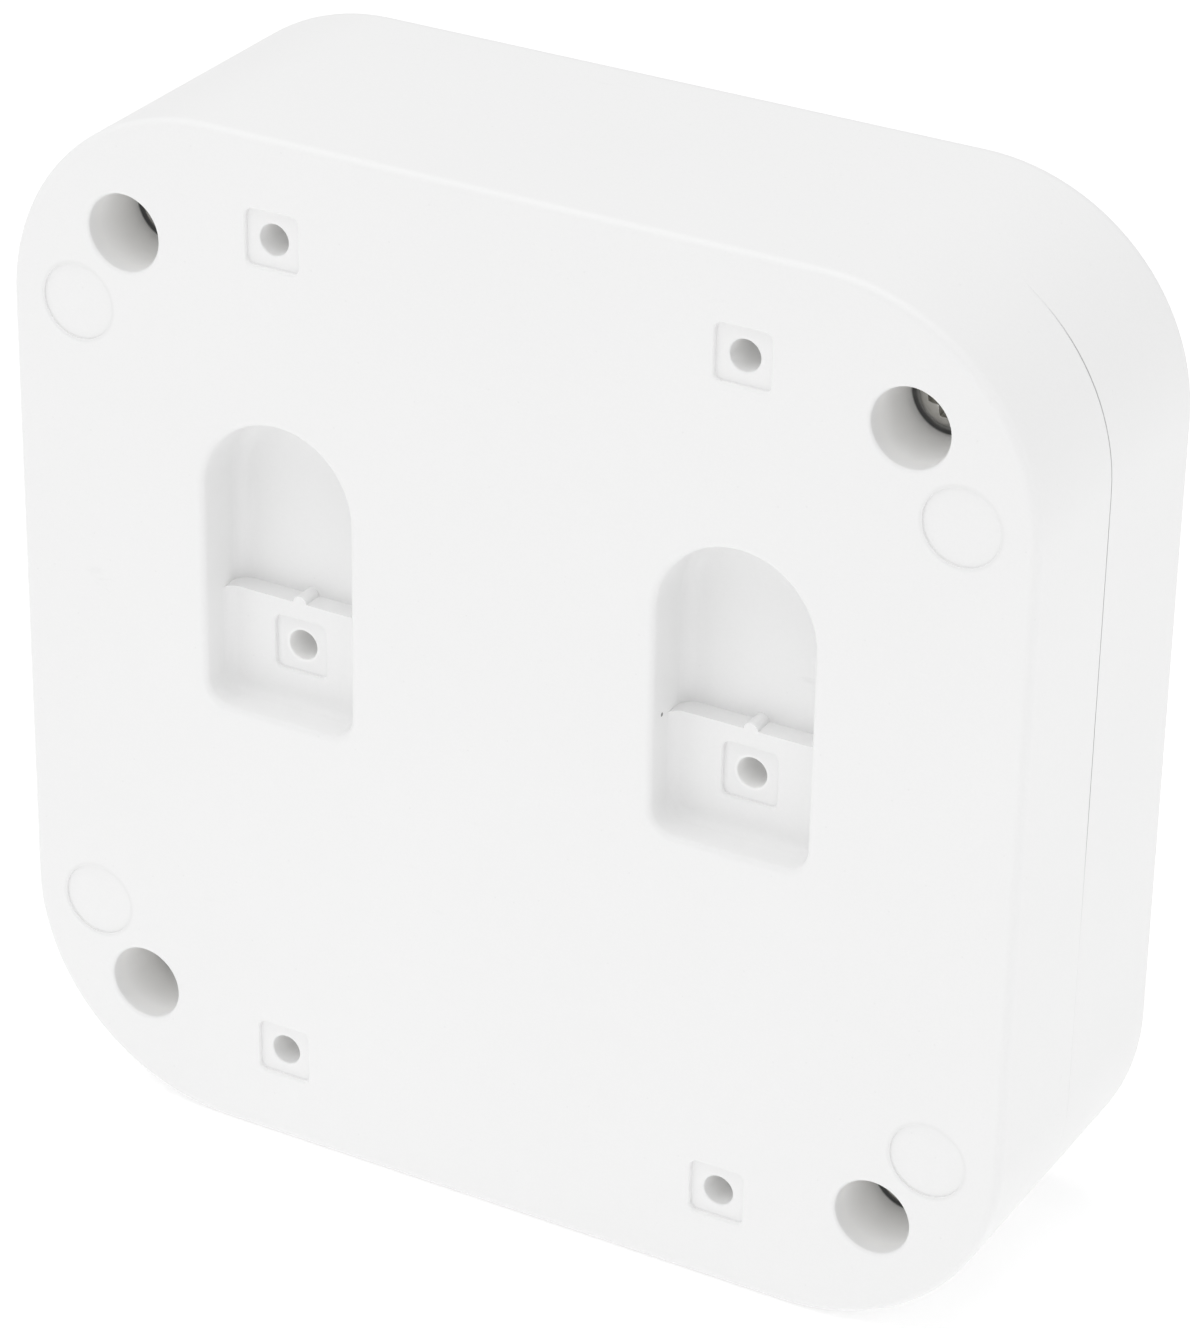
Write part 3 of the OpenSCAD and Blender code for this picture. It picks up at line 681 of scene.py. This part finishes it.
def pocket_outside(x):
    bm = weld([recess(x, DEEP, DEEP_R, -1), recess(x, SHELF, SHELF_R, 1)])
    middle = Vector((x, STEP_Y, -SHELF))
    rib = bmesh.ops.create_circle(bm, segments=32, radius=RIB_R, matrix=Matrix.Translation(middle))
    behind = [v for v in rib["verts"] if v.co.y < STEP_Y - 0.001]
    bmesh.ops.delete(bm, geom=behind, context="VERTS")
    arc = [e for e in bm.edges if not e.link_faces and (e.verts[0].co - middle).length < 1]
    made = bmesh.ops.extrude_edge_only(bm, edges=arc)
    dropped = [g for g in made["geom"] if isinstance(g, bmesh.types.BMVert)]
    bmesh.ops.translate(bm, verts=dropped, vec=(0, 0, SHELF - DEEP))
    for side in (-1, 1):
        for z, fillet in ((-SHELF, SHELF_R), (-DEEP, DEEP_R)):
            edge = side * (POCKET_W / 2 - fillet - LAND)
            line(bm, (x + edge, STEP_Y, z), (x + side * RIB_R, STEP_Y, z))
    fill(bm, "y", STEP_Y, (0, 1, 0))
    return [bm, *fixing_hole((x, 0), -SHELF)]


def pocket_inside(x):
    """The raised back of the pocket, as the board sees it."""
    back, deep_back = SHELF + SKIN, DEEP + SKIN
    form = Form(pocket_outline(x, SKIN + 0.3, -PLATE, IN))
    form.turn_down(0.3, 3, -1).wall(-(back - PLATE - 0.3))
    bm = form.bm
    cut = STEP_Y - STEP_SKIN
    cut_at(bm, cut)
    tops = level(bm, "z", -back)
    low = [f for f in tops if f.calc_center_median().y < cut]
    high = [f for f in tops if f.calc_center_median().y > cut]
    bmesh.ops.delete(bm, geom=low, context="FACES_ONLY")
    lifted = bmesh.ops.extrude_discrete_faces(bm, faces=high)["faces"][0]
    bmesh.ops.translate(bm, verts=lifted.verts[:], vec=(0, 0, back - deep_back))
    return [bm, boss(PAD_BOSS_R, -back, -SHELF_BOSS_Z, (x, 0), IN)]


# %% [markdown]
# ## Rear housing
#
# All of the forms are welded and the flats filled: the mounting face round its fifteen rims, the
# floor inside round its bosses, the two shelves, their deep floors and the six pad floors.

# %% Rear housing
def rear_housing():
    forms = rear_skin()
    for at in at_corners(SCREW_AT, SCREW_AT):
        forms += screw_well(at)
    for at in at_corners(*PAD_AT):
        forms += fixing_hole(at, 0)
        forms.append(boss(PAD_BOSS_R, -PLATE, -PAD_BOSS_Z, at, IN))
    for at in at_corners(*FOOT_AT):
        forms.append(foot_mark(at))
    for at in at_corners(*STANDOFF_AT):
        hole = (STANDOFF_HOLE_R, -STANDOFF_HOLE_Z)
        forms.append(boss(STANDOFF_R, -PLATE, -BOARD_Z, at, IN, *hole))
    for x in (-POCKET_X, POCKET_X):
        forms += pocket_outside(x)
        forms += pocket_inside(x)
    bm = weld(forms)
    for z, way in ((0, 1), (-PAD_SINK, 1), (-SHELF, 1), (-SHELF - PAD_SINK, 1), (-DEEP, 1)):
        fill(bm, "z", z, (0, 0, way))
    for z in (-PLATE, -SHELF - SKIN):
        fill(bm, "z", z, (0, 0, -1))
    bm.normal_update()
    break_seam(bm)
    return build(bm, "rear_shell", SHELL, ["rear_housing"])


# %% [markdown]
# ## Front cover
#
# The cover is the deep tray. Its lower wall is pierced for the network jack, the power jack and
# the reset pin, and its front for the light guide. Four long bosses reach back to the screws.

# %% Front cover
EDGE_Y = -CASE_W / 2
PORT_RIM = 0.3
LAN_HOLE = (-12.0, 16.8, 14.0, -28.4)
POWER_HOLE = (14.0, 4.2, -28.0)
RESET_HOLE = (3.0, 1.2, -23.5)
GUIDE_Y = -38.0
GUIDE_HOLE_R = 1.65
COLLAR_R = 3.2
COLLAR_H = 2.0
PANEL_AREA = 1000


def port_forms():
    x, w, h, z = LAN_HOLE
    grow = PORT_RIM + LAND
    socket = Form(rounded(w + 2 * grow, h + 2 * grow, 0.9, 0.9, (x, EDGE_Y, z), DOWN, 5))
    socket.step(LAND).turn_down(PORT_RIM, 4).wall(WALL - PORT_RIM).open()
    forms = [socket.bm]
    for x, r, z in (POWER_HOLE, RESET_HOLE):
        hole = Form(disc(r + grow, (x, EDGE_Y, z), DOWN, 48))
        forms.append(hole.step(LAND).turn_down(PORT_RIM, 4).wall(WALL - PORT_RIM).open().bm)
    return forms


def front_cover():
    forms = cover_skin() + port_forms()
    for at in at_corners(SCREW_AT, SCREW_AT):
        forms.append(boss(BOSS_R, -ROOF, -BOSS_Z, at, OUT, PILOT_R, -PILOT_END, 0.4))
    guide = Form(disc(GUIDE_HOLE_R + 0.2 + LAND, (0, GUIDE_Y, -DEPTH), IN, 48))
    guide.step(LAND).turn_down(0.2, 3).wall(PLATE + COLLAR_H - 0.2).open()
    forms.append(guide.bm)
    collar = Form(disc(COLLAR_R + 0.3, (0, GUIDE_Y, -ROOF), OUT, 48))
    collar.turn_down(0.3, 3, -1).wall(-(COLLAR_H - 0.3)).step(COLLAR_R - GUIDE_HOLE_R).open()
    forms.append(collar.bm)
    bm = weld(forms)
    for y, way in ((EDGE_Y, -1), (EDGE_Y + WALL, 1)):
        panel = [f for f in level(bm, "y", y) if f.calc_area() > PANEL_AREA]
        bmesh.ops.delete(bm, geom=panel, context="FACES_ONLY")
        fill(bm, "y", y, (0, way, 0))
    fill(bm, "z", -DEPTH, (0, 0, -1))
    fill(bm, "z", -ROOF, (0, 0, 1))
    break_seam(bm)
    ease_seam(bm)
    return build(bm, "front_shell", SHELL, ["front_cover"])


rear_housing()
front_cover()

# %% [markdown]
# ## Finishes of the pieces inside
#
# Three recipes cover most of the inside. Metal parts have a fine grain, drawn out in one direction
# where the part was rolled or brushed, dull stains and brighter rubbed edges. Moulded parts have a
# grain and a flow mark. Gritty parts, such as ferrite and foam, are a pile of small cells.

# %% Three recipes


def metal(name, colour, rough=0.3, brush=(1, 1, 1), grain=0.5, stain=0.25):
    paint = Paint(name)
    lines = paint.cloud(grain, detail=3.0, rough=0.6, stretch=brush)
    dull = paint.cloud(3.5, detail=4.0, rough=0.6)
    rubbed = paint.edges(0.12)
    dark = tint(*(c * 0.62 for c in colour))
    bright = tint(*(min(1.0, c * 1.12) for c in colour))
    base = paint.mix(dull.spread(0.45, 0.7) * stain, tint(*colour), dark)
    shade = paint.mix(rubbed * 0.6, base, bright)
    gloss = rough + dull * 0.16 + lines * 0.10 - rubbed * 0.08 - 0.10
    normal = paint.bump(dull, 0.004, before=paint.bump(lines, 0.003))
    return paint.surface(shade, gloss, 1.0, normal)


def moulded(name, colour, rough=0.5, grain=0.25, depth=0.006, wear=1.35, **values):
    paint = Paint(name)
    fine = paint.cloud(grain, detail=2.0, rough=0.6)
    flow = paint.cloud(5.0, detail=3.0)
    rubbed = paint.edges(0.10)
    light = tint(*(min(1.0, c * wear + 0.01) for c in colour))
    dark = tint(*(c * 0.85 for c in colour))
    base = paint.mix(flow, tint(*colour), dark)
    shade = paint.mix(rubbed * 0.5 + fine * 0.12, base, light)
    gloss = rough + fine * 0.14 + flow * 0.10 - rubbed * 0.10 - 0.10
    normal = paint.bump(flow, 0.01, before=paint.bump(fine, depth))
    return paint.surface(shade, gloss, 0.0, normal, **values)


def gritty(name, colour, rough=0.8, size=0.25, depth=0.02):
    paint = Paint(name)
    cells = paint.cells(size)
    clouds = paint.cloud(2.0, detail=4.0, rough=0.7)
    dark = tint(*(c * 0.55 for c in colour))
    base = paint.mix(cells.spread(0.2, 0.9), tint(*colour), dark)
    shade = paint.mix(clouds.spread(0.4, 0.7) * 0.25, base, tint(*(min(1.0, c * 1.4) for c in colour)))
    normal = paint.bump(cells, depth)
    return paint.surface(shade, rough - 0.12 + clouds * 0.2, 0.0, normal)


# %% [markdown]
# ## Circuit board
#
# Under the solder mask the copper shows as slightly lighter tracks and pours. They run in straight
# lanes, so two sets of thin stripes, each kept to its own patches, stand in for the routing. Small
# plated holes, which join the layers, are scattered over the board.

# %% Board paint
def board_paint():
    paint = Paint("solder mask over copper")
    across, up = paint.axis("X"), paint.axis("Z")
    patch = paint.cloud(14.0, detail=0.0)
    bend = paint.cloud(9.0, detail=0.0) * 1.2
    tracks = paint.mix(patch > 0.5, (up + bend).stripes(1.3), (across - bend).stripes(1.3))
    share = paint.add("ShaderNodeRGBToBW", {}, {0: tracks})
    pour = patch.spread(0.62, 0.64)
    copper = share.work("MAXIMUM", share, pour)
    vias = paint.cells(3.1).spread(0.070, 0.085, 1.0, 0.0)
    dust = paint.cloud(0.4, detail=3.0)
    mask = paint.mix(copper * 0.85, tint(0.012, 0.075, 0.030), tint(0.024, 0.150, 0.055))
    cloudy = paint.mix(dust * 0.15, mask, tint(0.05, 0.16, 0.08))
    colour = paint.mix(vias, cloudy, tint(0.72, 0.62, 0.40))
    rough = 0.34 + dust * 0.12 - vias * 0.1
    normal = paint.bump(copper - vias, 0.03, before=paint.bump(dust, 0.004))
    return paint.surface(colour, rough, 0.0, normal, **{"Coat Weight": 0.25, "Coat Roughness": 0.2})


# %% [markdown]
# ## Which finish goes where
#
# The frame names a material for each node. Every one of them gets a finish at its own scale.

# %% Palette
PALETTE = {
    "screw_steel": metal("zinc plated screw steel", (0.62, 0.61, 0.58), 0.30, grain=0.3),
    "board_green": board_paint(),
    "sink_aluminium": metal("extruded aluminium", (0.78, 0.79, 0.80), 0.36, (1, 1, 14), 0.25),
    "thermal_rubber": moulded("thermal rubber", (0.22, 0.30, 0.40), 0.7, 0.4, 0.02),
    "chip_epoxy": moulded("chip epoxy", (0.022, 0.022, 0.024), 0.55, 0.12, 0.006, 2.0),
    "crystal_can": metal("nickel silver can", (0.74, 0.73, 0.70), 0.25, grain=0.4),
    "chip_ceramic": moulded("fired ceramic", (0.42, 0.30, 0.19), 0.55, 0.15, 0.008),
    "tinned_steel": metal("tinned steel", (0.70, 0.71, 0.71), 0.28, (8, 1, 1), 0.3),
    "black_plastic": moulded("black jack plastic", (0.018, 0.018, 0.019), 0.42, 0.2, 0.005, 2.2),
    "gold_plate": metal("gold plate", (0.92, 0.68, 0.30), 0.22, grain=0.2, stain=0.15),
    "lamp_lens": moulded("clear lamp lens", (0.55, 0.70, 0.48), 0.15, 0.4, 0.002, 1.2,
                         **{"Transmission Weight": 0.35}),
    "nickel_plate": metal("nickel plate", (0.68, 0.66, 0.62), 0.20, grain=0.3),
    "ferrite": gritty("sintered ferrite", (0.075, 0.073, 0.075), 0.62, 0.16, 0.012),
    "copper_winding": metal("enamelled copper", (0.72, 0.33, 0.12), 0.25, (12, 1, 12), 0.4),
    "capacitor_sleeve": metal("aluminium can", (0.66, 0.68, 0.72), 0.30, (1, 14, 1), 0.3),
    "switch_ivory": moulded("ivory nylon", (0.78, 0.72, 0.58), 0.40, 0.25, 0.004, 1.1),
    "clear_guide": moulded("clear acrylic", (0.90, 0.93, 0.94), 0.10, 0.6, 0.001, 1.0,
                           **{"Transmission Weight": 0.85, "IOR": 1.49}),
    "antenna_laminate": moulded("antenna laminate", (0.045, 0.13, 0.07), 0.45, 0.18, 0.006, 1.5),
    "foam_tape": gritty("foam tape", (0.82, 0.82, 0.80), 0.9, 0.3, 0.03),
    "lead_jacket": moulded("lead jacket", (0.035, 0.035, 0.037), 0.45, 0.3, 0.004, 2.0),
}
print("finishes mixed:", len(PALETTE) + 1)

# %% [markdown]
# ## Breaking the edges
#
# No stamped, moulded or sawn part has a perfectly sharp edge. A copy of each node is merged into
# one skin, its flat triangles are joined, and every sharp corner gets a small round. The round is
# about a twentieth of a millimetre on sheet metal, up to a fifth on a moulding and more on a
# winding. The antenna leads keep the eight sides that they have in the frame.

# %% Small pieces
TO_CUBIC_MM = 1e9
EDGE = {
    "case_screws": 0.08, "main_board": 0.10, "board_screws": 0.07, "heat_sink": 0.15,
    "heat_sink_screws": 0.06, "thermal_pad": 0.12, "system_chip": 0.10, "memory_chips": 0.08,
    "flash_chip": 0.10, "clock_crystals": 0.10, "chip_parts": 0.06, "radio_chips": 0.08,
    "lan_jack_shell": 0.05, "lan_jack_insert": 0.10, "lan_jack_contacts": 0.03,
    "lan_jack_lamps": 0.10, "lan_transformer": 0.20, "power_jack": 0.15, "power_jack_pin": 0.05,
    "power_jack_spring": 0.04, "poe_transformer_core": 0.20, "poe_transformer_winding": 0.40,
    "power_inductors": 0.25, "bulk_capacitors": 0.08, "reset_switch": 0.10,
    "reset_switch_bracket": 0.03, "reset_dome": 0.02, "reset_button": 0.08, "status_lamp": 0.08,
    "light_pipe": 0.08, "antenna_top": 0.06, "antenna_left": 0.06, "antenna_right": 0.06,
    "antenna_bottom": 0.06, "antenna_tapes": 0.05, "coax_plugs": 0.05, "coax_sockets": 0.08,
    "shield_fence_left": 0.04, "shield_fence_right": 0.04, "shield_lid_left": 0.05,
    "shield_lid_right": 0.05, "antenna_lead_top": 0.0, "antenna_lead_left": 0.0,
    "antenna_lead_right": 0.0, "antenna_lead_bottom": 0.0,
}
SLOT_OF = {part["node"]: part["material_slot"] for part in frame["record"]["subparts"]}


def volume(bm):
    return abs(bm.calc_volume()) * TO_CUBIC_MM


def broken(node, width):
    """A merged copy of a node with its sharp edges rounded."""
    bm = bmesh.new()
    bm.from_mesh(frame["nodes"][node].data)
    bmesh.ops.remove_doubles(bm, verts=bm.verts, dist=2e-6)
    bmesh.ops.recalc_face_normals(bm, faces=bm.faces[:])
    before = volume(bm)
    if width > 0:
        bmesh.ops.dissolve_limit(
            bm, angle_limit=math.radians(0.6), verts=bm.verts[:], edges=bm.edges[:],
        )
        sharp = [e for e in bm.edges if e.is_manifold and e.calc_face_angle() > math.radians(32)]
        bmesh.ops.bevel(
            bm, geom=sharp, offset=width / 1000, offset_type="OFFSET", affect="EDGES",
            segments=2, profile=0.5, material=-1, clamp_overlap=True,
        )
    print(f"  {node}: {before:.1f} mm3 before, {volume(bm):.1f} mm3 after")
    slot = SLOT_OF[node]
    body = "reset_button" if node == "reset_button" else "case"
    return build(bm, node + "_piece", PALETTE[slot], [node], body, 30, bench=False)


for node, width in EDGE.items():
    broken(node, width)

# %% [markdown]
# ## Floor, light and camera
#
# The case stands on its lower side on a white table, which gives off some light of its own so that
# it shows as plain white. A large soft light hangs above, a little towards the back of the case.
# Two weak ones fill from the left and from the right, and the pale room does the rest, so that the
# white case barely stands out from the table. The camera looks down on the back from its upper
# right.

# %% The table
TABLE_GLOW = 0.28
TABLE_DROP = 0.0002


def table():
    paint = Paint("white table")
    mottle = paint.cloud(90.0, detail=2.0)
    colour = paint.mix(mottle, grey(0.90), grey(0.92))
    glow = {"Emission Color": grey(1), "Emission Strength": TABLE_GLOW}
    material = paint.surface(colour, paint.cloud(6.0) * 0.1 + 0.55, **glow)
    bm = bmesh.new()
    bmesh.ops.create_grid(bm, x_segments=1, y_segments=1, size=3.0)
    bmesh.ops.translate(bm, verts=bm.verts, vec=(0, 0, -CASE_W / 2000 - TABLE_DROP))
    mesh = bpy.data.meshes.new("table")
    bm.to_mesh(mesh)
    bm.free()
    mesh.materials.append(material)
    floor = bpy.data.objects.new("table", mesh)
    bpy.context.scene.collection.objects.link(floor)


table()


# %% Lights
def soft_light(name, place, size, power, target=(0, 0.02, 0)):
    data = bpy.data.lights.new(name, "AREA")
    data.shape = "RECTANGLE"
    data.size, data.size_y = size
    data.energy = power
    light = bpy.data.objects.new(name, data)
    light.location = place
    light.rotation_euler = (Vector(target) - Vector(place)).to_track_quat("-Z", "Y").to_euler()
    bpy.context.scene.collection.objects.link(light)


soft_light("overhead", (-0.15, -0.25, 1.3), (1.4, 1.4), 7.9)
soft_light("low left fill", (-0.45, -0.55, 0.08), (0.4, 0.3), 0.1)
soft_light("low right fill", (1.0, 0.3, 0.15), (0.9, 0.5), 0.75)

scene = bpy.context.scene
room = bpy.data.worlds.new("pale room")
scene.world = room
room.use_nodes = True
room.node_tree.nodes["Background"].inputs["Color"].default_value = (1, 1, 1, 1)
room.node_tree.nodes["Background"].inputs["Strength"].default_value = 0.65
scene.view_settings.view_transform = "Standard"

# %% Camera
LENS = 137.17
EYE = Vector((0.25694, -0.44075, 0.27903))
RIGHT = Vector((0.87101, 0.491, 0.01629))
UP = Vector((-0.24271, 0.40125, 0.88323))
camera_data = bpy.data.cameras.new("camera")
camera_data.lens = LENS
camera_data.sensor_width = 36.0
camera = bpy.data.objects.new("camera", camera_data)
turn = Matrix((RIGHT, UP, RIGHT.cross(UP))).transposed().to_4x4()
camera.matrix_world = Matrix.Translation(EYE) @ turn
scene.collection.objects.link(camera)
scene.camera = camera
print("camera at", tuple(round(c, 3) for c in EYE))
